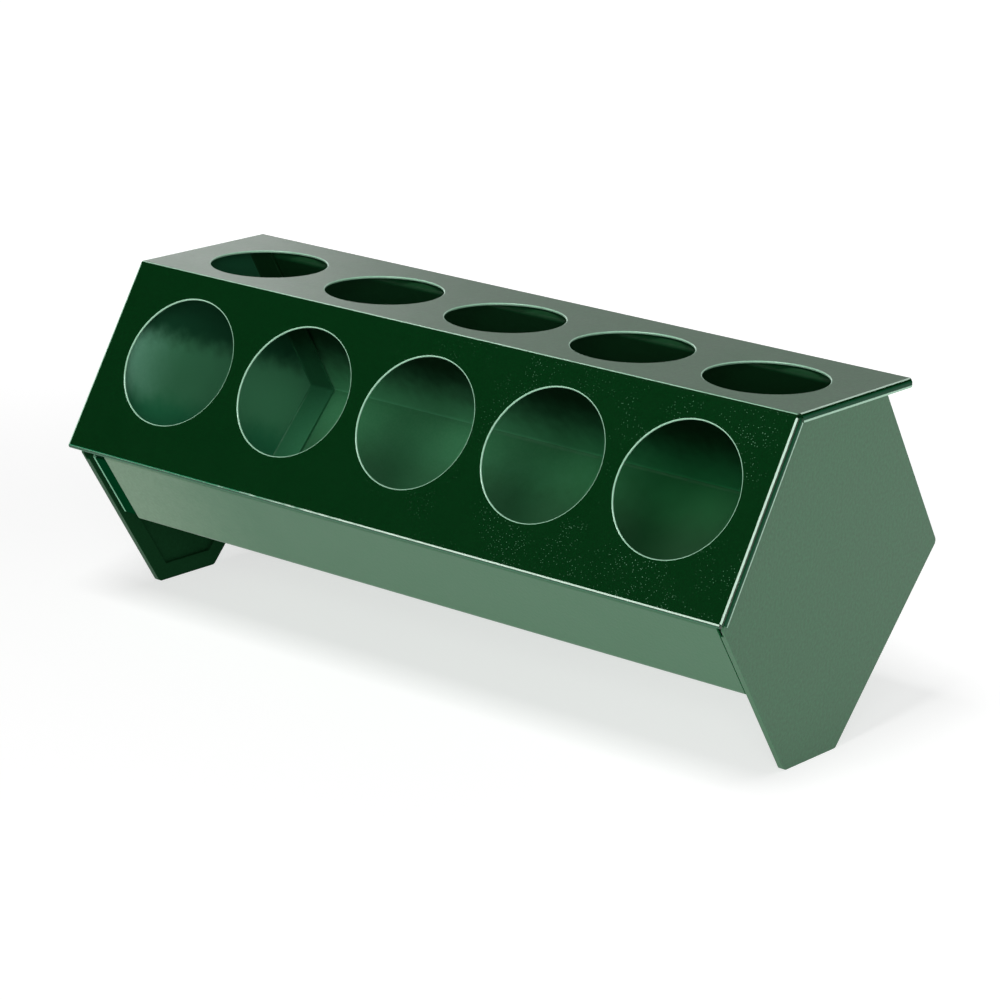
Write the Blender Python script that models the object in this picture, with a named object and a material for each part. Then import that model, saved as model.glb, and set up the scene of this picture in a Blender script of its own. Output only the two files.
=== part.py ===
"""A small poultry trough feeder folded from green sheet steel.

A trough stands between two leg plates, and a lid with two rows of feed holes slides off it endwise.
Metres, +Z up. X runs along the trough, the sloping front faces -Y, and the feet stand on z = 0.
Section points are (y, z) pairs, with y counted from the lid's front fold and z from the ground.
"""

from math import atan2, ceil, copysign, cos, radians, sin, tan

import bmesh
import bpy
from mathutils import Matrix, Vector

# Lid
LID_TOP = 0.1250
LID_LENGTH = 0.3000
LID_DEPTH = 0.0675
LID_SHEET = 0.0009
FRONT_PANEL_LENGTH = 0.0750
FRONT_PANEL_SLOPE = radians(59.0)
FOLD_RADIUS = 0.0020
LID_HEM_WIDTH = 0.0050
LID_HEM_GAP = 0.0004
HOOK_DEPTH = 0.0100
LIP_OVERLAP = 0.0007
LIP_BEND = 0.0015
LIP_RELIEF = 0.0030

# Feed holes
HOLE_COUNT = 5
HOLE_PITCH = 0.0570
FRONT_HOLE_RADIUS = 0.0245
FRONT_HOLE_DROP = 0.0340
TOP_HOLE_RADIUS = 0.02175
TOP_HOLE_REACH = 0.0310
HOLE_SIDES = 64
CUTTER_REACH = 0.0030

# Leg plates: their six corners, each reach counted back from the lid's front fold
FRONT_CORNER_HEIGHT = 0.0595
REAR_TOP_REACH = 0.0515
REAR_CORNER_REACH = 0.0895
REAR_CORNER_HEIGHT = 0.0620
FOOT_FRONT_REACH = 0.0035
FOOT_REAR_REACH = 0.0335
PLATE_SHEET = 0.0011
PLATE_HEM_WIDTH = 0.0065
PLATE_HEM_GAP = 0.0002
PLATE_HEM_SETBACK = 0.0040
PLATE_CORNER = 0.0025
LEFT_OVERHANG = 0.0045

# Trough
TROUGH_SHEET = 0.0008
TROUGH_FLOOR = 0.0315
TROUGH_BEND = 0.0030
FRONT_FLANGE = 0.0080
FRONT_FLANGE_BEND = 0.0015
RAIL_BEND = 0.0012
RAIL_END_GAP = 0.0004

# End pans
PAN_SHEET = 0.0009
PAN_DEPTH = 0.0123
PAN_BEND = 0.0015
PAN_RELIEF = 0.0030
PAN_TOP_RELIEF = 0.0005
PAN_LAP = 0.0030

# Gap that neighbouring pieces keep
CLEARANCE = 0.0003

ARC_STEP = radians(15.0)
SMOOTH_ANGLE = radians(32.0)
SAME_POINT = 1e-8

# Sizes that follow from the ones above
LID_HEM = 2 * LID_SHEET + LID_HEM_GAP
HOOK_HEIGHT = 2 * LID_SHEET + TROUGH_SHEET + 2 * CLEARANCE
SEAT_OFFSET = LID_HEM + CLEARANCE
SEAT_HEIGHT = LID_TOP - LID_SHEET - CLEARANCE
LIP_DEPTH = SEAT_OFFSET + LIP_OVERLAP
PLATE_STACK = 2 * PLATE_SHEET + PLATE_HEM_GAP
LID_END = LID_LENGTH / 2
RIGHT_PLATE_FACE = LID_END - LID_SHEET - CLEARANCE
LEFT_PLATE_FACE = -LID_END + LEFT_OVERHANG
RIGHT_PAN_FACE = RIGHT_PLATE_FACE - PLATE_STACK - CLEARANCE
LEFT_PAN_FACE = LEFT_PLATE_FACE + PLATE_STACK + CLEARANCE
TROUGH_RIGHT = RIGHT_PAN_FACE
TROUGH_LEFT = LEFT_PAN_FACE + PAN_DEPTH - PAN_LAP

DOWN_PANEL = Vector((-cos(FRONT_PANEL_SLOPE), -sin(FRONT_PANEL_SLOPE)))
INTO_PANEL = Vector((sin(FRONT_PANEL_SLOPE), -cos(FRONT_PANEL_SLOPE)))
FOLD = Vector((0.0, LID_TOP))


def cross(first, second):
    return first.x * second.y - first.y * second.x


def left_of(direction):
    return Vector((-direction.y, direction.x))


def on_panel(down, depth):
    """A section point that far down the front panel and that deep behind its outer face."""
    return FOLD + DOWN_PANEL * down + INTO_PANEL * depth


def meet(point, direction, other, other_direction):
    """Where two section lines cross."""
    share = cross(other - point, other_direction) / cross(direction, other_direction)
    return point + direction * share


def at_height(low, high, height):
    """The point of the line through two section points that lies at a height."""
    return low + (high - low) * ((height - low.y) / (high.y - low.y))


def bent_faces(corners, radii, thickness=0.0):
    """Both faces of a folded sheet: its rounded mould line, and the line a thickness to its left."""
    mould, other = [], []

    def add(point, normal):
        if mould and (point - mould[-1]).length < SAME_POINT:
            return
        mould.append(point)
        other.append(point + normal * thickness)

    add(corners[0], left_of((corners[1] - corners[0]).normalized()))
    for before, corner, after, radius in zip(corners, corners[1:], corners[2:], radii):
        arriving = (corner - before).normalized()
        leaving = (after - corner).normalized()
        turn = atan2(cross(arriving, leaving), arriving.dot(leaving))
        if radius == 0.0:
            add(corner, left_of(arriving))
            continue
        inner_side = copysign(1.0, turn)
        start = corner - arriving * radius * tan(abs(turn) / 2)
        centre = start + left_of(arriving) * radius * inner_side
        steps = max(2, ceil(abs(turn) / ARC_STEP))
        for step in range(steps + 1):
            normal = Matrix.Rotation(turn * step / steps, 2) @ left_of(arriving)
            add(centre - normal * radius * inner_side, normal)
    add(corners[-1], left_of((corners[-1] - corners[-2]).normalized()))
    return mould, other


def inset(corners, distances):
    """The corners of an anticlockwise outline whose sides have each moved inwards."""
    sides = []
    for start, end, distance in zip(corners, corners[1:] + corners[:1], distances):
        direction = (end - start).normalized()
        sides.append((start + left_of(direction) * distance, direction))
    return [meet(*before, *after) for before, after in zip([sides[-1]] + sides[:-1], sides)]


def plate_corners():
    """The leg plate's outline, anticlockwise: feet, rear corner, top, front corner."""
    seat_line = on_panel(0.0, SEAT_OFFSET)
    top_front = meet(seat_line, DOWN_PANEL, Vector((0.0, SEAT_HEIGHT)), Vector((1.0, 0.0)))
    front = meet(seat_line, DOWN_PANEL, Vector((0.0, FRONT_CORNER_HEIGHT)), Vector((1.0, 0.0)))
    return {
        "foot_front": Vector((FOOT_FRONT_REACH, 0.0)),
        "foot_rear": Vector((FOOT_REAR_REACH, 0.0)),
        "rear": Vector((REAR_CORNER_REACH, REAR_CORNER_HEIGHT)),
        "top_rear": Vector((REAR_TOP_REACH, SEAT_HEIGHT)),
        "top_front": top_front,
        "front": front,
    }


def folded_sheet(faces, start, end):
    """A sheet of the given section along X, with the quads that close its end."""
    solid = bmesh.new()
    rings = []
    for x in (start, end):
        rings.append([[solid.verts.new((x, point.x, point.y)) for point in line] for line in faces])
    (near_mould, near_other), (far_mould, far_other) = rings
    spans = range(len(near_mould) - 1)
    for near, far in ((near_mould, far_mould), (near_other, far_other)):
        for i in spans:
            solid.faces.new((near[i], near[i + 1], far[i + 1], far[i]))
    for i in (0, -1):
        solid.faces.new((near_mould[i], near_other[i], far_other[i], far_mould[i]))
    for mould, other in ((near_mould, near_other), (far_mould, far_other)):
        ends = [solid.faces.new((mould[i], mould[i + 1], other[i + 1], other[i])) for i in spans]
    return solid, ends


def grow(solid, faces):
    """Extrudes faces and gives back the new ones with their corners."""
    grown = bmesh.ops.extrude_face_region(solid, geom=faces)["geom"]
    bmesh.ops.delete(solid, geom=faces, context="FACES_ONLY")
    moving = [item for item in grown if isinstance(item, bmesh.types.BMFace)]
    return moving, list({corner for face in moving for corner in face.verts})


def bend_flange(solid, faces, pivot, outward, inward, length, steps=6):
    """Turns edge faces a quarter round a fold line, then runs them on straight."""
    quarter = outward.cross(inward)
    for _ in range(steps):
        faces, corners = grow(solid, faces)
        turn = Matrix.Rotation(radians(90.0 / steps), 3, quarter)
        bmesh.ops.rotate(solid, cent=pivot, matrix=turn, verts=corners)
    faces, corners = grow(solid, faces)
    bmesh.ops.translate(solid, vec=inward * length, verts=corners)


def green_paint(name):
    material = bpy.data.materials.new(name)
    material.use_nodes = True
    shader = material.node_tree.nodes["Principled BSDF"]
    shader.inputs["Base Color"].default_value = (0.030, 0.120, 0.060, 1.0)
    shader.inputs["Roughness"].default_value = 0.38
    shader.inputs["Metallic"].default_value = 0.0
    return material


def add_piece(name, solid, parent):
    """Makes an object of a finished solid, with its own paint, under the body that carries it."""
    bmesh.ops.recalc_face_normals(solid, faces=solid.faces)
    mesh = bpy.data.meshes.new(name)
    solid.to_mesh(mesh)
    solid.free()
    mesh.shade_smooth()
    mesh.set_sharp_from_angle(angle=SMOOTH_ANGLE)
    mesh.materials.append(green_paint(name + "_paint"))
    piece = bpy.data.objects.new(name, mesh)
    bpy.context.scene.collection.objects.link(piece)
    piece.parent = parent
    return piece


def lid_section():
    """The lid's folded section, from the inner edge of its front hem to the edge of its rear hook."""
    lower = FRONT_PANEL_LENGTH
    rear = LID_DEPTH
    hook = LID_TOP - HOOK_HEIGHT
    corners = [
        on_panel(lower - LID_HEM_WIDTH, LID_HEM),
        on_panel(lower, LID_HEM),
        on_panel(lower, 0.0),
        on_panel(lower - LID_HEM_WIDTH - LIP_RELIEF, 0.0),
        on_panel(LIP_RELIEF, 0.0),
        FOLD,
        Vector((LIP_RELIEF, LID_TOP)),
        Vector((rear - HOOK_HEIGHT / 2 - LIP_RELIEF, LID_TOP)),
        Vector((rear, LID_TOP)),
        Vector((rear, hook)),
        Vector((rear - HOOK_DEPTH, hook)),
    ]
    hem_radius = LID_HEM / 2
    hook_radius = HOOK_HEIGHT / 2
    radii = [hem_radius, hem_radius, 0.0, 0.0, FOLD_RADIUS, 0.0, 0.0, hook_radius, hook_radius]
    return bent_faces(corners, radii, -LID_SHEET), corners


def section_middle():
    """Where the middle of the object's depth lies, counted from the front fold."""
    (mould, _), _ = lid_section()
    corners = plate_corners()
    rear, _ = bent_faces([corners["foot_rear"], corners["rear"], corners["top_rear"]], [PLATE_CORNER])
    return (min(point.x for point in mould) + max(point.x for point in rear)) / 2


def spanning(faces, low, high):
    """The end quads that lie between two section points."""
    run = high - low
    found = []
    for face in faces:
        middle = face.calc_center_median()
        share = (Vector((middle.y, middle.z)) - low).dot(run) / run.length_squared
        off_line = abs(cross(Vector((middle.y, middle.z)) - low, run)) / run.length
        if 0.0 < share < 1.0 and off_line < LID_SHEET:
            found.append(face)
    return found


def make_lid(parent):
    """One sheet: front hem, sloping front, top, rear hook, and a turned-in lip at the right end."""
    faces, corners = lid_section()
    flat_end = LID_END - LIP_BEND
    solid, ends = folded_sheet(faces, -LID_END, flat_end)
    lips = (
        (corners[3], spanning(ends, corners[3], corners[4]), Vector((0.0, INTO_PANEL.x, INTO_PANEL.y))),
        (corners[6], spanning(ends, corners[6], corners[7]), Vector((0.0, 0.0, -1.0))),
    )
    for low, lip_faces, inward in lips:
        pivot = Vector((flat_end, low.x, low.y)) + inward * LIP_BEND
        bend_flange(solid, lip_faces, pivot, Vector((1.0, 0.0, 0.0)), inward, LIP_DEPTH - LIP_BEND)
    return add_piece("lid", solid, parent)


def make_hole_cutter(parent):
    """Short drums that punch both rows of feed holes."""
    solid = bmesh.new()
    rows = (
        (FRONT_HOLE_RADIUS, on_panel(FRONT_HOLE_DROP, 0.0), FRONT_PANEL_SLOPE),
        (TOP_HOLE_RADIUS, Vector((TOP_HOLE_REACH, LID_TOP)), 0.0),
    )
    for radius, centre, slope in rows:
        turn = Matrix.Rotation(slope, 4, "X")
        for index in range(HOLE_COUNT):
            x = (index - (HOLE_COUNT - 1) / 2) * HOLE_PITCH
            place = Matrix.Translation((x, centre.x, centre.y)) @ turn
            bmesh.ops.create_cone(
                solid, cap_ends=True, segments=HOLE_SIDES, radius1=radius, radius2=radius,
                depth=2 * CUTTER_REACH, matrix=place,
            )
    cutter = add_piece("feed_hole_cutter", solid, parent)
    cutter.hide_render = True
    cutter.display_type = "WIRE"
    return cutter


def make_trough(parent):
    """One sheet: front flange, sloping walls round the feed, rear wall, and the rail that the lid hooks."""
    corners = plate_corners()
    rail_height = SEAT_HEIGHT - TROUGH_SHEET
    outline = [
        corners["front"] - DOWN_PANEL * FRONT_FLANGE,
        corners["front"],
        at_height(corners["foot_front"], corners["front"], TROUGH_FLOOR),
        at_height(corners["foot_rear"], corners["rear"], TROUGH_FLOOR),
        corners["rear"],
        at_height(corners["rear"], corners["top_rear"], rail_height),
        Vector((LID_DEPTH - LID_SHEET - RAIL_END_GAP, rail_height)),
    ]
    radii = [FRONT_FLANGE_BEND, TROUGH_BEND, TROUGH_BEND, TROUGH_BEND, RAIL_BEND]
    solid, _ = folded_sheet(bent_faces(outline, radii, TROUGH_SHEET), TROUGH_LEFT, TROUGH_RIGHT)
    return add_piece("trough_body", solid, parent)


def make_leg_plate(name, parent, face_x, side):
    """A six-cornered end plate that ends in a foot, with a folded hem down its legs and under its foot."""
    corners = plate_corners()
    rear_leg = (corners["foot_rear"] - corners["rear"]).normalized()
    front_leg = (corners["foot_front"] - corners["front"]).normalized()
    rear_start = corners["rear"] + rear_leg * PLATE_HEM_SETBACK
    front_start = corners["front"] + front_leg * PLATE_HEM_SETBACK
    rounds = [PLATE_CORNER] * 4
    upper_corners = [rear_start] + [corners[key] for key in ("rear", "top_rear", "top_front", "front")]
    upper, _ = bent_faces(upper_corners + [front_start], rounds)
    lower_corners = [front_start, corners["foot_front"], corners["foot_rear"], rear_start]
    lower, _ = bent_faces(lower_corners, rounds[:2])
    hem = PLATE_HEM_WIDTH
    hem_corners = inset(list(corners.values()), [hem, hem, 0.0, 0.0, 0.0, hem])
    hem_line = [front_start + left_of(front_leg) * hem] + hem_corners[:2]
    hem_line.append(rear_start - left_of(rear_leg) * hem)

    solid = bmesh.new()

    def raise_points(points, depth):
        return [solid.verts.new((face_x - side * depth, point.x, point.y)) for point in points]

    outline = lower[:-1] + upper[:-1]
    outer = raise_points(outline, 0.0)
    inner = raise_points(outline, PLATE_SHEET)
    hem_edge = raise_points(hem_line, PLATE_SHEET)
    turn = len(lower) - 1
    solid.faces.new(outer)
    for i in range(len(outline)):
        solid.faces.new((outer[i - 1], outer[i], inner[i], inner[i - 1]))
    solid.faces.new(inner[turn:] + [inner[0]] + hem_edge)
    hem_face = solid.faces.new(inner[: turn + 1] + hem_edge[::-1])
    bmesh.ops.recalc_face_normals(solid, faces=solid.faces)
    _, raised = grow(solid, [hem_face])
    bmesh.ops.translate(solid, vec=(-side * (PLATE_STACK - PLATE_SHEET), 0.0, 0.0), verts=raised)
    return add_piece(name, solid, parent)


def pan_edge_section():
    """The pan's edge, from its outer face round the turned flange to its inner face.

    Each pair is an inset from the flange's outer face and a depth behind the web's outer face.
    """
    steps = ceil(radians(90.0) / ARC_STEP)
    angles = [radians(90.0) * step / steps for step in range(steps + 1)]
    inside_bend = PAN_BEND - PAN_SHEET
    outer = [(PAN_BEND * (1 - sin(angle)), PAN_BEND * (1 - cos(angle))) for angle in angles]
    inner = [(PAN_BEND - inside_bend * sin(angle), PAN_BEND - inside_bend * cos(angle)) for angle in angles]
    return outer + [(0.0, PAN_DEPTH), (PAN_SHEET, PAN_DEPTH)] + inner[::-1]


def make_end_pan(name, parent, face_x, side):
    """The wall that closes one end of the trough, with flanges turned in along the trough's walls."""
    corners = plate_corners()
    lap = TROUGH_SHEET + CLEARANCE
    floor_front = at_height(corners["foot_front"], corners["front"], TROUGH_FLOOR)
    floor_rear = at_height(corners["foot_rear"], corners["rear"], TROUGH_FLOOR)
    outline = [floor_front, floor_rear] + [corners[key] for key in ("rear", "top_rear", "top_front", "front")]
    folds = inset(outline, [lap, lap, lap, 0.0, lap, lap])
    web = inset(outline, [lap + PAN_BEND] * 3 + [0.0, lap, lap + PAN_BEND])
    pan_corner = max(TROUGH_BEND - lap, PAN_BEND)
    floor_run = (folds[1] - folds[0]).normalized() * PAN_RELIEF
    rear_run = (folds[3] - folds[2]).normalized() * PAN_TOP_RELIEF
    front_run = (folds[0] - folds[5]).normalized() * PAN_RELIEF
    long_flange = [folds[0] + floor_run, folds[1], folds[2], folds[3] - rear_run]
    front_flange = [folds[5] + front_run, folds[0] - front_run]

    solid = bmesh.new()

    def raise_points(points, depth):
        return [solid.verts.new((face_x - side * depth, point.x, point.y)) for point in points]

    edges = []
    for path in (long_flange, front_flange):
        lines = []
        for distance, depth in pan_edge_section():
            _, points = bent_faces(path, [pan_corner] * (len(path) - 2), distance)
            lines.append(raise_points(points, depth))
        for near, far in zip(lines, lines[1:]):
            for i in range(len(near) - 1):
                solid.faces.new((near[i], near[i + 1], far[i + 1], far[i]))
        for i in (0, -1):
            solid.faces.new([line[i] for line in lines])
        edges.append(lines)
    long_edge, front_edge = edges

    rims = []
    for line, depth in ((0, 0.0), (-1, PAN_SHEET)):
        upper_rim = [long_edge[line][-1]] + raise_points(web[3:], depth) + [front_edge[line][0]]
        lower_rim = [front_edge[line][-1]] + raise_points(web[:1], depth) + [long_edge[line][0]]
        solid.faces.new(long_edge[line][:-1] + upper_rim + front_edge[line][1:-1] + lower_rim[:-1])
        rims.append((upper_rim, lower_rim))
    for near, far in zip(*rims):
        for i in range(len(near) - 1):
            solid.faces.new((near[i], near[i + 1], far[i + 1], far[i]))
    return add_piece(name, solid, parent)


def add_carrier(name, fold_y):
    """An empty on the ground below the lid's front fold, which carries one moving body."""
    carrier = bpy.data.objects.new(name, None)
    carrier.location = (0.0, fold_y, 0.0)
    bpy.context.scene.collection.objects.link(carrier)
    return carrier


def main():
    for leftover in list(bpy.data.objects):
        bpy.data.objects.remove(leftover)
    fold_y = -section_middle()
    trough_carrier = add_carrier("trough_carrier", fold_y)
    lid_carrier = add_carrier("lid_carrier", fold_y)

    make_trough(trough_carrier)
    make_leg_plate("left_leg_plate", trough_carrier, LEFT_PLATE_FACE, -1.0)
    make_leg_plate("right_leg_plate", trough_carrier, RIGHT_PLATE_FACE, 1.0)
    make_end_pan("left_end_pan", trough_carrier, LEFT_PAN_FACE, -1.0)
    make_end_pan("right_end_pan", trough_carrier, RIGHT_PAN_FACE, 1.0)

    lid = make_lid(lid_carrier)
    punch = lid.modifiers.new("feed_holes", "BOOLEAN")
    punch.operation = "DIFFERENCE"
    punch.solver = "EXACT"
    punch.object = make_hole_cutter(lid_carrier)


main()
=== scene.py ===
from math import cos, radians, sin, tan

import bmesh
import bpy
from mathutils import Matrix, Vector


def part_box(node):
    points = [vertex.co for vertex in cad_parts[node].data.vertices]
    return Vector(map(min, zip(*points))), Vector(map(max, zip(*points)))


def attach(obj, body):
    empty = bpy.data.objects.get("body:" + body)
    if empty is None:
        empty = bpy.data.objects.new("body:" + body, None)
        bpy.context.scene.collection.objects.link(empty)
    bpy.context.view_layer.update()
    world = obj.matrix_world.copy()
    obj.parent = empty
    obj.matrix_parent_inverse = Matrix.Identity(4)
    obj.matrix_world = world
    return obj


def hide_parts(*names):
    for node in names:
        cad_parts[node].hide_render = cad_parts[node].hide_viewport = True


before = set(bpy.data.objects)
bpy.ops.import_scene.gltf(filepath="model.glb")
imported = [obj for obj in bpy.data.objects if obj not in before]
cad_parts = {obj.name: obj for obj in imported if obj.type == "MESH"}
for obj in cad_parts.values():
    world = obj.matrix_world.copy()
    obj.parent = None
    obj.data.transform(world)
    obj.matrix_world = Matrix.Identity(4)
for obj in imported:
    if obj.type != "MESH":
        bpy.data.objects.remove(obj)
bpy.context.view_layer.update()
scene = bpy.context.scene
millimetre = 0.001
white = (1.0, 1.0, 1.0, 1.0)


def hexColour(code):  # an sRGB hex value as Blender's linear colour
    channels = [int(code[i : i + 2], 16) / 255 for i in (1, 3, 5)]
    linear = [c / 12.92 if c <= 0.04045 else ((c + 0.055) / 1.055) ** 2.4 for c in channels]
    return (*linear, 1.0)


def addNode(owner, kind, settings=None, links=None):
    # a setting goes to the socket of that number or name, or else to the node itself
    tree = owner.node_tree
    node = tree.nodes.new(kind)
    for name, value in (settings or {}).items():
        if isinstance(name, int) or name in node.inputs:
            node.inputs[name].default_value = value
        else:
            setattr(node, name, value)
    for socket, source in (links or {}).items():
        tree.links.new(source, node.inputs[socket])
    return node


# the camera stands where the photographer stood: in front, to the right and a little above
cameraView = {
    "azimuth": 38.837,  # degrees, and so are the next two
    "elevation": 16.725,
    "roll": 1.838,
    "distance": 1.3622,  # metres from the target
    "target": (0.0048, 0.0, 0.0595),
    "lens": 136.71,  # millimetres, and so is the sensor's width
    "sensorWidth": 36.0,
    "farthest": 50.0,
}


def placeCamera():
    azimuth, elevation = radians(cameraView["azimuth"]), radians(cameraView["elevation"])
    level = Vector((sin(azimuth), -cos(azimuth), 0.0)) * cos(elevation)
    back = level + Vector((0.0, 0.0, sin(elevation)))
    right = Vector((cos(azimuth), sin(azimuth), 0.0))
    right = Matrix.Rotation(radians(cameraView["roll"]), 3, back) @ right
    place = Matrix((right, back.cross(right), back)).transposed().to_4x4()
    place.translation = Vector(cameraView["target"]) + back * cameraView["distance"]
    data = bpy.data.cameras.new("photoCamera")
    data.lens = cameraView["lens"]
    data.sensor_width = cameraView["sensorWidth"]
    data.clip_end = cameraView["farthest"]
    camera = bpy.data.objects.new("photoCamera", data)
    camera.matrix_world = place
    scene.collection.objects.link(camera)
    scene.camera = camera
    print("camera placed")


# the floor is a light table: the shadow takes away what it scatters of the lamps' light, and its
# own glow keeps the shadow pale and grows outwards, where the lamps reach less
lightTable = {
    "size": 12.0,  # metres
    "scatter": 0.44,  # the share of the lamps' light
    "glowMiddle": (-0.15, -0.34, 0.0),
    "glow": {
        "interpolation_type": "SMOOTHSTEP",
        "From Min": 0.30, "From Max": 0.92,  # metres from the middle
        "To Min": 0.65, "To Max": 0.97,
    },
}


def makeFloor():
    half = lightTable["size"] / 2
    corners = [(-half, -half, 0), (half, -half, 0), (half, half, 0), (-half, half, 0)]
    mesh = bpy.data.meshes.new("studioFloor")
    mesh.from_pydata(corners, [], [(0, 1, 2, 3)])
    floor = bpy.data.objects.new("studioFloor", mesh)
    scene.collection.objects.link(floor)

    # cast opal acrylic sheet, sanded matt and lit from below: even, white, without reflections
    material = bpy.data.materials.new("litWhiteAcrylicTable")
    material.use_nodes = True
    tree = material.node_tree
    tree.nodes.remove(tree.nodes["Principled BSDF"])
    grey = [lightTable["scatter"]] * 3
    sanded = addNode(material, "ShaderNodeBsdfDiffuse", {"Color": (*grey, 1.0)})
    place = addNode(material, "ShaderNodeNewGeometry")
    reach = addNode(
        material, "ShaderNodeVectorMath",
        {"operation": "DISTANCE", 1: lightTable["glowMiddle"]}, {0: place.outputs["Position"]},
    )
    level = addNode(
        material, "ShaderNodeMapRange", lightTable["glow"], {"Value": reach.outputs["Value"]}
    )
    glow = addNode(material, "ShaderNodeEmission", links={"Strength": level.outputs["Result"]})
    both = addNode(
        material, "ShaderNodeAddShader", links={0: sanded.outputs[0], 1: glow.outputs[0]}
    )
    tree.links.new(both.outputs[0], tree.nodes["Material Output"].inputs["Surface"])
    floor.data.materials.append(material)
    print("floor laid")


# soft lamps: places, aims and sizes in metres, power in watts
lamps = {
    "topFront": {
        "place": (0.05, -0.72, 1.85), "aim": (0.0, 0.0, 0.0), "size": (0.7, 0.7), "power": 23.0,
    },
    "keyRight": {
        "place": (1.5, -0.9, 0.9), "aim": (0.0, 0.0, 0.07), "size": (1.0, 0.8), "power": 3.0,
    },
    "cameraSide": {
        "place": (1.05, -1.55, 0.72), "aim": (0.0, 0.0, 0.07), "size": (0.9, 0.6), "power": 16.0,
        "glints": False,
    },
    # the others are seen only as reflections, in the pale top, the fold and the hem
    "backLeft": {
        "place": (-2.3, 1.4, 0.85), "aim": (0.0, 0.0, 0.12), "size": (1.5, 1.3), "power": 9.6,
        "lightsPaint": False,
    },
    "backRight": {
        "place": (-0.9, 2.4, 0.95), "aim": (0.0, 0.0, 0.12), "size": (2.4, 1.3), "power": 6.1,
        "lightsPaint": False,
    },
    "foldGlint": {
        "place": (-1.5, 1.0, 1.6), "aim": (0.0, 0.0, 0.12), "size": (0.5, 0.5), "power": 3.0,
        "lightsPaint": False,
    },
    "hemGlint": {
        "place": (-1.35, -1.8, 0.32), "aim": (0.0, 0.0, 0.08), "size": (0.9, 0.35), "power": 6.0,
        "lightsPaint": False,
    },
}
surroundings = {"fill": 0.018, "backdrop": 0.985}  # what lights the part, and what the camera sees


def lightStudio():
    for name, lamp in lamps.items():
        data = bpy.data.lights.new(name, "AREA")
        data.shape = "RECTANGLE"
        data.size, data.size_y = lamp["size"]
        data.energy = lamp["power"]
        light = bpy.data.objects.new(name, data)
        light.location = lamp["place"]
        aim = Vector(lamp["aim"]) - Vector(lamp["place"])
        light.rotation_euler = aim.to_track_quat("-Z", "Y").to_euler()
        light.visible_camera = False
        light.visible_diffuse = lamp.get("lightsPaint", True)
        light.visible_glossy = lamp.get("glints", True)
        scene.collection.objects.link(light)
    world = bpy.data.worlds.new("studioWorld")
    world.use_nodes = True
    tree = world.node_tree
    fill = tree.nodes["Background"]
    fill.inputs["Strength"].default_value = surroundings["fill"]
    fill.inputs["Color"].default_value = white
    backdrop = addNode(
        world, "ShaderNodeBackground", {"Color": white, "Strength": surroundings["backdrop"]}
    )
    path = addNode(world, "ShaderNodeLightPath")
    seen = addNode(world, "ShaderNodeMixShader", links={
        0: path.outputs["Is Camera Ray"], 1: fill.outputs[0], 2: backdrop.outputs[0],
    })
    tree.links.new(seen.outputs[0], tree.nodes["World Output"].inputs["Surface"])
    scene.world = world
    scene.view_settings.view_transform = "Standard"
    print(f"studio lit by {len(lamps)} lamps")


# Polyester powder coat, sprayed on degreased sheet steel and fired. It gives the eye a closed dark
# green film with soft, broad highlights, a faint orange peel, a film of dust that dulls it, and
# pale lines over cut edges and bends, partly where it pulls thin and partly painted highlight.
# In each coat below, colour is the clean paint and dusty the paint under dust; several coats carry
# painted light or shade in them as well, as said at each. The orange peel's waves are peel wide and
# peelDepth high, in millimetres: they are about one wide in a thin coat.
# A blend brings in another colour along a direction, from one distance to another in metres, and
# its border wanders by the ragged distance.
rightwards, upwards, downwards = (1.0, 0.0, 0.0), (0.0, 0.0, 1.0), (0.0, 0.0, -1.0)
powderCoat = {
    "ior": 1.6,
    "gloss": 0.5,
    "cloudWidth": 14.0,  # millimetres, of the clouds that dust settles in
    "cloudShare": 0.3,  # how much of the dust lies in clouds
    "grainShare": 0.7,  # and how much in the grain of the orange peel
    "grainRange": (0.32, 0.68),
    "ragWidth": 5.0,  # millimetres, of the rags along a blend's border
    "satinRange": 0.03,  # how far the roughness drifts either way
}


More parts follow.
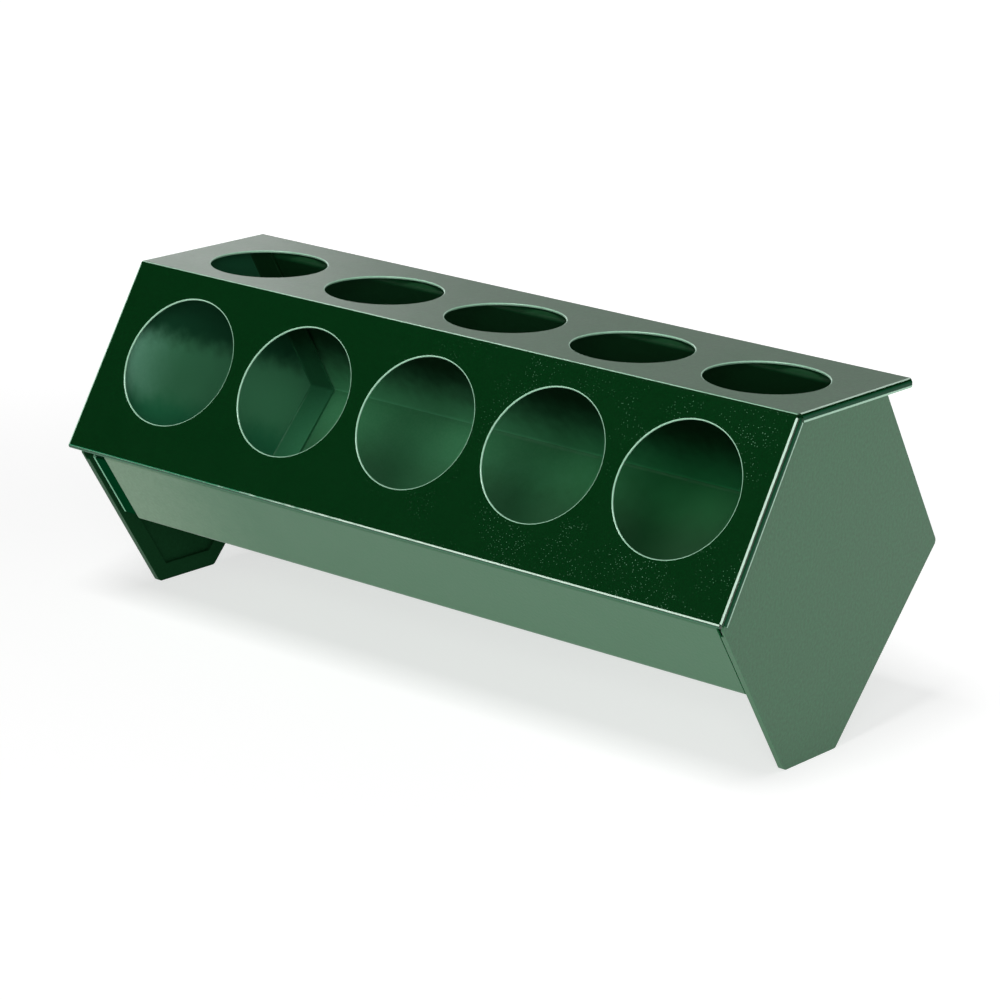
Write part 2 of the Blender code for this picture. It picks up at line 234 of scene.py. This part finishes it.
def makePowderCoat(name, coat):
    material = bpy.data.materials.new("powderCoatedSteel_" + name)
    material.use_nodes = True
    tree = material.node_tree
    shader = tree.nodes["Principled BSDF"]
    shader.inputs["IOR"].default_value = powderCoat["ior"]
    shader.inputs["Specular IOR Level"].default_value = coat.get("gloss", powderCoat["gloss"])
    place = addNode(material, "ShaderNodeTexCoord")
    where = {"Vector": place.outputs["Object"]}

    # dust lies in wide clouds and in the grain of the orange peel
    wide = {"Scale": 1 / (powderCoat["cloudWidth"] * millimetre), "Detail": 4.0, "Roughness": 0.6}
    cloud = addNode(material, "ShaderNodeTexNoise", wide, where)
    fine = {"Scale": 1 / (coat["peel"] * millimetre), "Detail": 3.0, "Roughness": 0.55}
    peel = addNode(material, "ShaderNodeTexNoise", fine, where)
    low, high = powderCoat["grainRange"]
    grain = addNode(
        material, "ShaderNodeMapRange",
        {"From Min": low, "From Max": high, "To Max": powderCoat["grainShare"]},
        {"Value": peel.outputs["Fac"]},
    )
    dust = addNode(
        material, "ShaderNodeMath",
        {"operation": "MULTIPLY_ADD", 1: powderCoat["cloudShare"]},
        {0: cloud.outputs["Fac"], 2: grain.outputs["Result"]},
    )
    colour = addNode(
        material, "ShaderNodeMix",
        {"data_type": "RGBA", 6: hexColour(coat["colour"]), 7: hexColour(coat["dusty"])},
        {0: dust.outputs[0]},
    )
    for blend in coat.get("blends", []):
        colour = blendIn(material, blend, colour, where)
    if "nibsAndGlints" in coat:
        colour = addNibsAndGlints(material, coat["nibsAndGlints"], colour, where)
    tree.links.new(colour.outputs[2], shader.inputs["Base Color"])
    drift = powderCoat["satinRange"]
    satin = addNode(
        material, "ShaderNodeMapRange",
        {"To Min": coat["roughness"] - drift, "To Max": coat["roughness"] + drift},
        {"Value": cloud.outputs["Fac"]},
    )
    tree.links.new(satin.outputs["Result"], shader.inputs["Roughness"])
    bump = addNode(
        material, "ShaderNodeBump",
        {"Distance": coat["peelDepth"] * millimetre, "Strength": 1.0},
        {"Height": peel.outputs["Fac"]},
    )
    tree.links.new(bump.outputs["Normal"], shader.inputs["Normal"])
    return material


def blendIn(material, blend, colour, where):
    # another shade sets in along one direction, with a ragged border
    along = addNode(
        material, "ShaderNodeVectorMath",
        {"operation": "DOT_PRODUCT", 1: blend["along"]}, {0: where["Vector"]},
    )
    torn = {"Scale": 1 / (powderCoat["ragWidth"] * millimetre), "Detail": 4.0}
    rags = addNode(material, "ShaderNodeTexNoise", torn, where)
    wavy = addNode(
        material, "ShaderNodeMath",
        {"operation": "MULTIPLY_ADD", 1: blend["ragged"]},
        {0: rags.outputs["Fac"], 2: along.outputs["Value"]},
    )
    shift = blend["ragged"] / 2
    border = {"From Min": blend["from"] + shift, "From Max": blend["to"] + shift}
    share = addNode(
        material, "ShaderNodeMapRange",
        {"interpolation_type": "SMOOTHSTEP", **border}, {"Value": wavy.outputs[0]},
    )
    way = {"data_type": "RGBA", "blend_type": blend.get("mode", "MIX")}
    return addNode(
        material, "ShaderNodeMix",
        {**way, 7: hexColour(blend["colour"])},
        {0: share.outputs["Result"], 6: colour.outputs[2]},
    )


def addNibsAndGlints(material, nibsAndGlints, colour, where):
    # pale specks in patches, thickest towards the right end: partly dust nibs fired into the coat,
    # partly painted glints where the orange peel would catch the lamps
    axes = addNode(material, "ShaderNodeSeparateXYZ", links=where)
    cells = {"Scale": 1 / (nibsAndGlints["apart"] * millimetre)}
    cell = addNode(material, "ShaderNodeTexVoronoi", cells, where)
    inner, outer = nibsAndGlints["radius"]
    dot = addNode(
        material, "ShaderNodeMapRange",
        {"From Min": inner, "From Max": outer, "To Min": 1.0, "To Max": 0.0},
        {"Value": cell.outputs["Distance"]},
    )
    drifts = {"Scale": 1 / (nibsAndGlints["patchWidth"] * millimetre), "Detail": 3.0}
    drift = addNode(material, "ShaderNodeTexNoise", drifts, where)
    few, many = nibsAndGlints["patches"]
    patch = addNode(
        material, "ShaderNodeMapRange",
        {"From Min": few, "From Max": many}, {"Value": drift.outputs["Fac"]},
    )
    start, end = nibsAndGlints["towards"]
    towards = addNode(
        material, "ShaderNodeMapRange",
        {"From Min": start, "From Max": end, "To Max": nibsAndGlints["strength"]},
        {"Value": axes.outputs["X"]},
    )
    spots = addNode(
        material, "ShaderNodeMath", {"operation": "MULTIPLY"},
        {0: dot.outputs["Result"], 1: patch.outputs["Result"]},
    )
    share = addNode(
        material, "ShaderNodeMath", {"operation": "MULTIPLY"},
        {0: spots.outputs[0], 1: towards.outputs["Result"]},
    )
    return addNode(
        material, "ShaderNodeMix",
        {"data_type": "RGBA", 7: hexColour(nibsAndGlints["colour"])},
        {0: share.outputs[0], 6: colour.outputs[2]},
    )


# every sheet is its CAD shape with the sharp edges rounded by the coat, and its faces are sorted
# into finishes by where they lie and which way they turn
sheetEdges = {
    "weld": 0.002,  # millimetres
    "flatWithin": 0.6,  # degrees: faces that bend less than this are joined
    "sharper": 40.0,  # degrees: only edges that turn more than this are rounded
    "shortest": 1.2,  # millimetres: the edges across a bend are shorter, and stay as they are
    "steps": 3,
    "shadeBreak": 50.0,  # degrees
}
near = 0.1 * millimetre
square = 0.99  # a face square to the length has at least this much of its normal along it
sectionMiddle = Vector((0.0, 0.0, 0.065))  # a point inside the folded section


def facesOut(spot, normal):  # whether a face is on the outer side of the part
    return (spot - sectionMiddle).dot(normal) > 0


# the lid: a sloping front panel with a closed hem, a flat top panel with a hook at the rear, and
# lips turned in at the right end. A turn is the part of a face's normal that lies along an axis.
lid = {
    "body": "lid",
    "edgeRadius": 0.42,  # millimetres, and so are all lengths down to the coats
    "paleEdges": True,
    "topDepth": 67.5,  # from the fold to the rear edge
    "panelSlope": 59.0,  # degrees
    "hemDrop": 63.0,  # from the fold down to the hem's bend
    "hemTurn": 0.45,  # the bend's faces point less than this upwards
    "hemUnder": -0.2,  # and those of its underside less than this
    "foldBand": 1.0,  # the top's faces lie no further than this below the fold
    "foldTurn": 0.85,  # and point upwards more than this
    "foldFront": -0.2,  # those of the fold's painted pale highlight lean forwards more than this
    "lipBend": 1.45,  # how much of the length the lips' bend takes
    # the bend's faces turn along the length more than the first of these, its pale crease (thinner
    # coat and painted highlight) less than the second, and the flat of the lip more than the third
    "lipTurn": (0.05, 0.5, 0.85),
    "lipStrip": 2.30,  # the lip shows a dark strip of painted shade this wide, and then its pale inner edge, a painted highlight
    "lipZone": 1.6,  # the corners of the lips lie in this last stretch of the length
    "lipDepth": 3.4,  # and reach no further in from the panels than this
    "lipRoot": 1.3,  # from the fold to the lips' inner corner
    "lipGap": 0.3,  # between each lip and the mitre
    # along its panel each lip of the solid runs from the first to the second, and is run out to
    # the third
    "frontLip": (3.0, 67.0, 73.7),
    "topLip": (3.0, 62.9, 65.7),
    "coats": {
        # gloss coat, deep and dark: painted shade, darker than the top of the same sheet where the
        # front panel gets little light; the middle of the lips' bend and of the hem take it as a
        # dark band too
        "lidFrontPaintedShade": {
            "colour": "#00270A", "dusty": "#002F0E", "roughness": 0.20,
            "peel": 0.9, "peelDepth": 0.012,
            # pale specks: partly dust nibs, partly painted glints where the orange peel catches the
            # lamps, thickest towards the right end. Real nibs are about 0.1 millimetre across:
            # these are coarser, so that they show. The radius is a share of how far apart they are,
            # and towards is in metres.
            "nibsAndGlints": {
                "colour": "#7FAE90", "apart": 1.0, "radius": (0.12, 0.19),
                "patchWidth": 16.0, "patches": (0.44, 0.62),
                "towards": (-0.03, 0.13), "strength": 0.6,
            },
        },
        # satin under a film of dust
        "lidTop": {
            "colour": "#124626", "dusty": "#245E37", "roughness": 0.34,
            "peel": 1.1, "peelDepth": 0.045,
        },
        "lidUnderside": {
            "colour": "#0A3B1B", "dusty": "#0C4521", "roughness": 0.40,
            "peel": 0.9, "peelDepth": 0.030,
        },
        # the flat of the lips: painted shade, a darker emerald than the plate beside it, with
        # little gloss
        "lipFacePaintedShade": {
            "colour": "#034026", "dusty": "#05482C", "roughness": 0.45,
            "peel": 0.9, "peelDepth": 0.010, "gloss": 0.10,
        },
        # thin and pale over the bends, and most of all over the cut edges and hole rims: partly
        # coat pulled thin, partly painted highlight where the lamps would catch the rounded edges
        "creaseThinCoatAndHighlight": {
            "colour": "#B0CDBA", "dusty": "#C0D8C8", "roughness": 0.30,
            "peel": 0.6, "peelDepth": 0.010,
        },
        # the hem's upper bend: a painted highlight, emerald at the left end and paling to a
        # near-white line towards the right
        "hemCreasePaintedHighlight": {
            "colour": "#0A6A44", "dusty": "#0D744E", "roughness": 0.30,
            "peel": 0.6, "peelDepth": 0.010,
            "blends": [
                {
                    "along": rightwards, "from": -0.090, "to": 0.020,
                    "ragged": 0.16, "colour": "#BBD4C2",
                },
            ],
        },
        # the hem's underside bend: painted light, a brighter emerald than the front where the floor
        # would light it
        "hemBendPaintedLight": {
            "colour": "#075A38", "dusty": "#0A6440", "roughness": 0.35,
            "peel": 0.6, "peelDepth": 0.010, "gloss": 0.20,
        },
        "thinCoatAndPaintedHighlight": {
            "colour": "#8CBD9F", "dusty": "#A2CCB2", "roughness": 0.24,
            "peel": 0.6, "peelDepth": 0.010,
        },
    },
}
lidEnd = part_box("lid")[1].x
lidFold = Vector((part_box("lid")[1].y - lid["topDepth"] * millimetre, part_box("lid")[1].z))
panelSlope = radians(lid["panelSlope"])
downPanel = Vector((-cos(panelSlope), -sin(panelSlope)))
intoPanel = Vector((sin(panelSlope), -cos(panelSlope)))
overTop, underTop = Vector((1.0, 0.0)), Vector((0.0, -1.0))


def lidFinish(spot, normal):
    below = (lidFold.y - spot.z) / millimetre
    bendStart, bendFront, bendEnd = lid["lipTurn"]
    if normal.x > square and spot.x > lidEnd - near:
        line = Vector((spot.y, spot.z)) - lidFold
        depth = min(line.dot(intoPanel), line.dot(underTop))
        return "thinCoatAndPaintedHighlight" if lid["lipStrip"] * millimetre < depth else "lipFacePaintedShade"
    if normal.x > bendStart and spot.x > lidEnd - lid["lipBend"] * millimetre:
        return "lipFacePaintedShade" if normal.x > bendEnd else "creaseThinCoatAndHighlight" if normal.x < bendFront else "lidFrontPaintedShade"
    if not facesOut(spot, normal):
        return "lidUnderside"
    if below > lid["hemDrop"] and normal.z < lid["hemTurn"]:
        if normal.z > 0:
            return "hemCreasePaintedHighlight"
        return "lidFrontPaintedShade" if normal.z > lid["hemUnder"] else "hemBendPaintedLight"
    if below < lid["foldBand"] and normal.z > lid["foldTurn"]:
        return "thinCoatAndPaintedHighlight" if normal.y < lid["foldFront"] else "lidTop"
    return "lidFrontPaintedShade"


def runLipsOut(solid):
    # the turned-in lips reach the fold, the front hem and the rear hook, mitred where they meet
    mitre = tan(panelSlope / 2)
    lips = ((downPanel, intoPanel, lid["frontLip"]), (overTop, underTop, lid["topLip"]))
    for corner in solid.verts:
        if corner.co.x < lidEnd - lid["lipZone"] * millimetre:
            continue
        spot = Vector((corner.co.y, corner.co.z)) - lidFold
        for along, inwards, ends in lips:
            reach, depth = spot.dot(along), spot.dot(inwards)
            if not -near < depth < lid["lipDepth"] * millimetre:
                continue
            low, high, far = (end * millimetre for end in ends)
            if abs(reach - low) < near:
                root = lid["lipRoot"] * millimetre
                moved = max(root, lid["lipGap"] * millimetre + mitre * depth) - reach
            elif abs(reach - high) < near:
                moved = far - reach
            else:
                continue
            corner.co.y += along.x * moved
            corner.co.z += along.y * moved
            break


def splitLips(solid):
    # a cut along each lip sets off the strip beside its pale inner edge
    for inwards in (intoPanel, underTop):
        away = Vector((0.0, inwards.x, inwards.y))
        faces = [
            face for face in solid.faces
            if face.normal.x > square and face.calc_center_median().x > lidEnd - near
        ]
        parts = {part for face in faces for part in (face, *face.edges, *face.verts)}
        middle = Vector((lidEnd, lidFold.x, lidFold.y)) + away * (lid["lipStrip"] * millimetre)
        bmesh.ops.bisect_plane(solid, geom=list(parts), plane_co=middle, plane_no=away)


# the trough: front wall, floor, rear lower wall, rear upper wall and the rail the lid hooks on to
trough = {
    "body": "trough",
    "edgeRadius": 0.30,
    "paleEdges": False,
    "railFrom": 112.0,  # millimetres above the ground
    "upperTurn": -0.1,  # the rear upper wall leans forwards, so its inner face turns down
    "coats": {
        # dustier towards the left end
        "troughOutside": {
            "colour": "#4A7250", "dusty": "#5C8262", "roughness": 0.38,
            "peel": 1.2, "peelDepth": 0.060,
            "blends": [
                {
                    "along": rightwards, "from": -0.135, "to": -0.060,
                    "ragged": 0.030, "colour": "#1B6037",
                },
            ],
        },
        # painted light and shade inside the trough: both coats darken towards the right end; the
        # walls below the rear bend darken lower down, and the rear upper wall, which faces down, is
        # painted lighter near its bend and darker up under the lid
        "troughInsidePaintedShade": {
            "colour": "#3F8A5B", "dusty": "#4B9265", "roughness": 0.42,
            "peel": 0.9, "peelDepth": 0.030, "gloss": 0.25,
            "blends": [
                {
                    "along": rightwards, "from": -0.075, "to": 0.050,
                    "ragged": 0.020, "colour": "#206B3A",
                },
                {
                    "along": downwards, "from": -0.061, "to": -0.041,
                    "ragged": 0.004, "colour": "#AAB3AD", "mode": "MULTIPLY",
                },
            ],
        },
        # a lit copy of the inside coat for the rear upper wall, darkening towards the top: painted
        # light and shade
        "troughUpperPaintedLightShade": {
            "colour": "#5CB27E", "dusty": "#64B886", "roughness": 0.42,
            "peel": 0.9, "peelDepth": 0.030, "gloss": 0.25,
            "blends": [
                {
                    "along": rightwards, "from": -0.075, "to": 0.050,
                    "ragged": 0.020, "colour": "#2B8951",
                },
                {
                    "along": upwards, "from": 0.062, "to": 0.088,
                    "ragged": 0.008, "colour": "#082C13",
                },
            ],
        },
        "rail": {
            "colour": "#0A3519", "dusty": "#0C3B1D", "roughness": 0.45,
            "peel": 0.9, "peelDepth": 0.030, "gloss": 0.15,
        },
    },
}


def troughFinish(spot, normal):
    if spot.z > trough["railFrom"] * millimetre:
        return "rail"
    if facesOut(spot, normal):
        return "troughOutside"
    return "troughUpperPaintedLightShade" if spot.y > 0 and normal.z < trough["upperTurn"] else "troughInsidePaintedShade"


# the two end plates that stand on the ground
legPlate = {
    "body": "trough",
    "edgeRadius": 0.30,
    "paleEdges": False,
    "flat": 0.5,  # a face that turns along the length less than this is an edge
    "coats": {
        "legOutside": {
            "colour": "#10522A", "dusty": "#20683E", "roughness": 0.38,
            "peel": 1.2, "peelDepth": 0.070, "gloss": 0.46,
        },
        # painted shade: the left plate's inner face, dark and matt, without gloss
        "legInsidePaintedShade": {
            "colour": "#10301A", "dusty": "#143820", "roughness": 0.60,
            "peel": 0.9, "peelDepth": 0.030, "gloss": 0.0,
        },
        # painted shade: the left plate's edges, darker than the right plate's
        "legEdgePaintedShade": {
            "colour": "#0C4523", "dusty": "#0F4D29", "roughness": 0.45,
            "peel": 0.9, "peelDepth": 0.020, "gloss": 0.20,
        },
    },
}


def leftLegFinish(spot, normal):
    if normal.x < -legPlate["flat"]:
        return "legOutside"
    return "legEdgePaintedShade" if normal.x < legPlate["flat"] and facesOut(spot, normal) else "legInsidePaintedShade"


def rightLegFinish(spot, normal):
    edge = abs(normal.x) < legPlate["flat"] and facesOut(spot, normal)
    return "troughOutside" if edge else "legOutside"


# the walls that close the trough's ends
endPan = {
    "body": "trough",
    "edgeRadius": 0.30,
    "paleEdges": False,
    "webTurn": 0.97,  # the flat wall turns along the length more than this
    "webFrom": 8.2,  # and lies within this many millimetres of the lid's end
    # where the front flange ends above the lower front corner, seen along the trough, which way
    # it points there, and how far it has to run on
    "wallEnd": (-44.06, 35.09),
    "wallDown": (0.5575, -0.8302),
    "wallRun": 2.9,
    "wallWithin": 3.0,
    # the same for the floor flange, which lies lower than the last number
    "floorEnd": -39.39,
    "floorRun": 2.6,
    "floorBelow": 35.0,
    "coats": {
        # painted light and shade: a pale pool where it faces the first hole, darker towards the
        # rear and low down, and darkest at the top rear under the lid
        "panWebPaintedLightShade": {
            "colour": "#74B898", "dusty": "#80C2A2", "roughness": 0.42,
            "peel": 0.9, "peelDepth": 0.030,
            "blends": [
                {
                    "along": (0.0, 1.0, -0.5), "from": -0.092, "to": -0.052,
                    "ragged": 0.012, "colour": "#50996F",
                },
                {
                    "along": (0.0, -0.4, -1.0), "from": -0.070, "to": -0.057,
                    "ragged": 0.008, "colour": "#2E855B",
                },
                {
                    "along": (0.0, 0.35, 1.0), "from": 0.084, "to": 0.095,
                    "ragged": 0.008, "colour": "#1B5236",
                },
            ],
        },
        # painted shade: darker than the web so that the corner between them hardly shows, and
        # darker still towards the top under the lid
        "panFlangePaintedShade": {
            "colour": "#286A45", "dusty": "#30724D", "roughness": 0.42,
            "peel": 0.9, "peelDepth": 0.030, "gloss": 0.25,
            "blends": [
                {
                    "along": upwards, "from": 0.066, "to": 0.094,
                    "ragged": 0.010, "colour": "#092C13",
                },
            ],
        },
        # a painted highlight: a pale stripe along the left pan's bend; the rest is painted shade,
        # dark and without gloss
        "tabFacePaintedShadeHighlight": {
            "colour": "#7DB596", "dusty": "#86BD9E", "roughness": 0.45,
            "peel": 0.9, "peelDepth": 0.020, "gloss": 0.0,
            "blends": [
                {
                    "along": rightwards, "from": -0.1410, "to": -0.1407,
                    "ragged": 0.0, "colour": "#02351B",
                },
            ],
        },
    },
}


def panFinish(spot, normal):
    if abs(normal.x) > endPan["webTurn"] and abs(spot.x) > lidEnd - endPan["webFrom"] * millimetre:
        return "panWebPaintedLightShade"
    return "tabFacePaintedShadeHighlight" if facesOut(spot, normal) else "panFlangePaintedShade"


def closeCorner(solid):
    # the two flanges run on until they meet, so that no feed can trickle out
    wallEnd = Vector(endPan["wallEnd"]) * millimetre
    down = Vector(endPan["wallDown"])
    floorEnd, floorBelow = endPan["floorEnd"] * millimetre, endPan["floorBelow"] * millimetre
    for corner in solid.verts:
        spot = Vector((corner.co.y, corner.co.z))
        past = spot - wallEnd
        if abs(past.dot(down)) < near and past.length < endPan["wallWithin"] * millimetre:
            corner.co.y += down.x * endPan["wallRun"] * millimetre
            corner.co.z += down.y * endPan["wallRun"] * millimetre
        elif abs(spot.x - floorEnd) < near and spot.y < floorBelow:
            corner.co.y -= endPan["floorRun"] * millimetre


# node: its piece, how its faces are sorted, and what is done to its solid before and after the
# flat faces are joined
sheets = {
    "lid": (lid, lidFinish, runLipsOut, splitLips),
    "trough_body": (trough, troughFinish, None, None),
    "left_leg_plate": (legPlate, leftLegFinish, None, None),
    "right_leg_plate": (legPlate, rightLegFinish, None, None),
    "left_end_pan": (endPan, panFinish, closeCorner, None),
    "right_end_pan": (endPan, panFinish, closeCorner, None),
}


def coatSheet(node):
    piece, finishOf, reshape, split = sheets[node]
    solid = bmesh.new()
    solid.from_mesh(bpy.data.objects[node].data)
    weld = sheetEdges["weld"] * millimetre
    bmesh.ops.remove_doubles(solid, verts=solid.verts, dist=weld)
    if reshape:
        reshape(solid)
    bmesh.ops.dissolve_limit(
        solid, angle_limit=radians(sheetEdges["flatWithin"]), verts=solid.verts, edges=solid.edges
    )
    solid.normal_update()
    if split:
        split(solid)

    finishes = ["thinCoatAndPaintedHighlight"]  # the rounded edges take the first one, where they are pale
    for face in solid.faces:
        finish = finishOf(face.calc_center_median(), face.normal)
        if finish not in finishes:
            finishes.append(finish)
        face.material_index = finishes.index(finish)

    sharper, shortest = radians(sheetEdges["sharper"]), sheetEdges["shortest"] * millimetre
    sharp = [
        edge for edge in solid.edges
        if edge.calc_face_angle() > sharper and edge.calc_length() > shortest
    ]
    bmesh.ops.bevel(
        solid, geom=sharp, affect="EDGES", profile=0.5, clamp_overlap=False,
        offset=piece["edgeRadius"] * millimetre, segments=sheetEdges["steps"],
        material=0 if piece["paleEdges"] else -1,
    )
    mesh = bpy.data.meshes.new(node + "_coated")
    solid.to_mesh(mesh)
    solid.free()
    mesh.shade_smooth()
    mesh.set_sharp_from_angle(angle=radians(sheetEdges["shadeBreak"]))
    for finish in finishes:
        mesh.materials.append(madeCoats[finish])
    coated = bpy.data.objects.new(node + "_coated", mesh)
    scene.collection.objects.link(coated)
    flats = coated.modifiers.new("flatFaces", "WEIGHTED_NORMAL")
    flats.keep_sharp = True
    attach(coated, piece["body"])
    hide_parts(node)
    print(f"{node} coated, {len(mesh.polygons)} faces")


placeCamera()
makeFloor()
lightStudio()
coats = {**lid["coats"], **trough["coats"], **legPlate["coats"], **endPan["coats"]}
madeCoats = {name: makePowderCoat(name, coat) for name, coat in coats.items()}
print(f"{len(madeCoats)} finishes of powder coat made")
for node in sheets:
    coatSheet(node)
print("feeder dressed")
